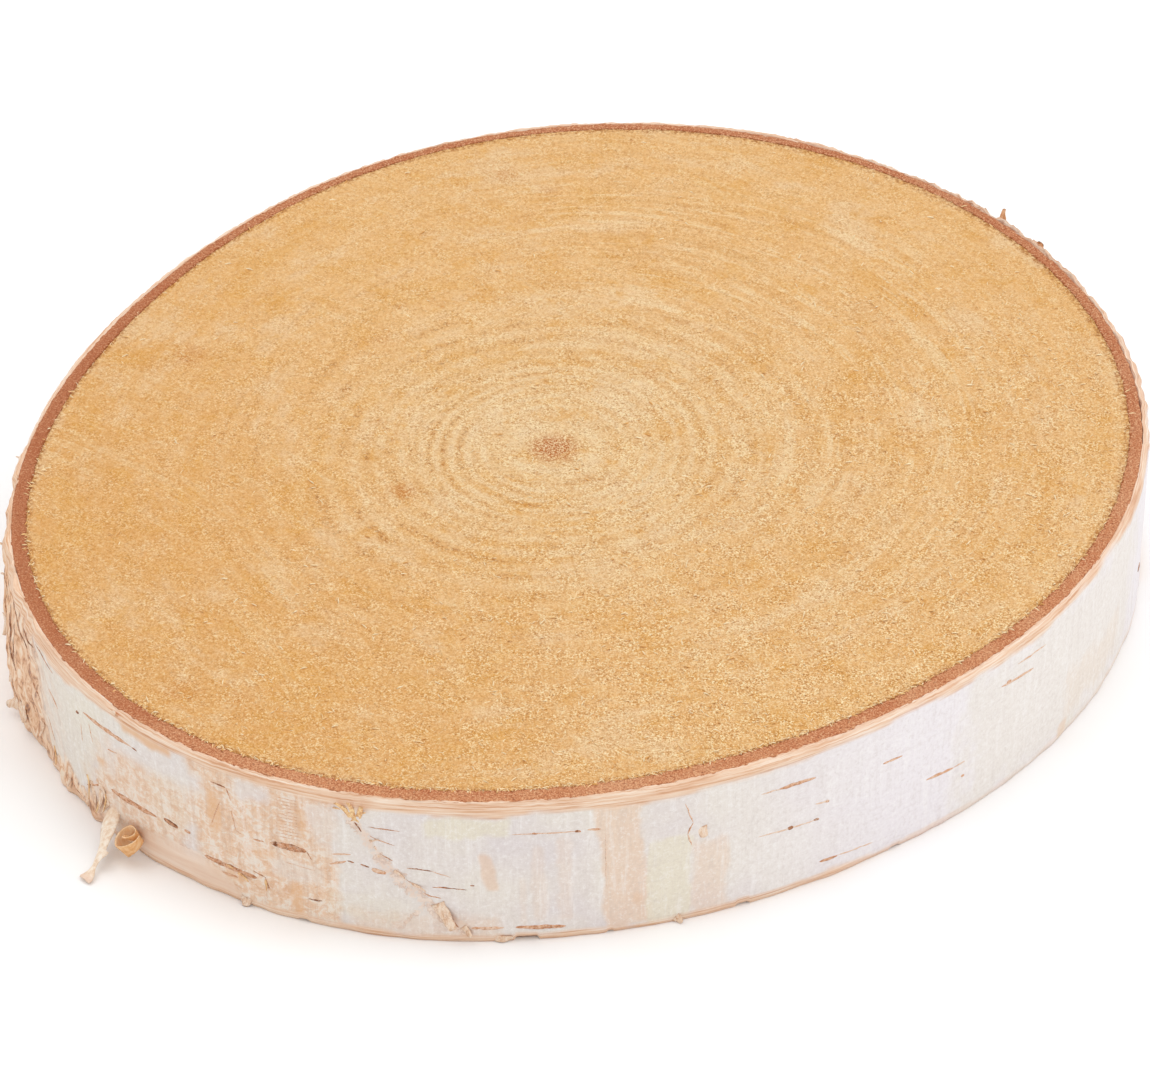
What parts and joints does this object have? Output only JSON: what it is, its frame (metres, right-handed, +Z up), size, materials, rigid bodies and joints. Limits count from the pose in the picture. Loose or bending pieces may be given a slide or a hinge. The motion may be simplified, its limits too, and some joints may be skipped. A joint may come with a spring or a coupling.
{
  "type": "birch wood slice",
  "caption": "Thick, slightly oval slice sawn across a birch trunk, with pale growth rings on its flat faces and white papery bark round its edge.",
  "frame": {"origin": "on the ground under the middle of the slice's outline, in the plane of the lower sawn face", "axes": "+Z up through the thickness, from the lower sawn face to the upper; +X and +Y lie in the sawn faces, with the outline's long axis about 51 degrees from +X towards +Y"},
  "size_m": [0.1992, 0.2048, 0.03],
  "materials": {
    "sawn_wood": "rough sawn, unfinished",
    "inner_bark": "granular, matt",
    "outer_bark": "papery, matt"
  },
  "bodies": {
    "root": {"birch_slice": "sawn_wood"}
  },
  "joints": []
}
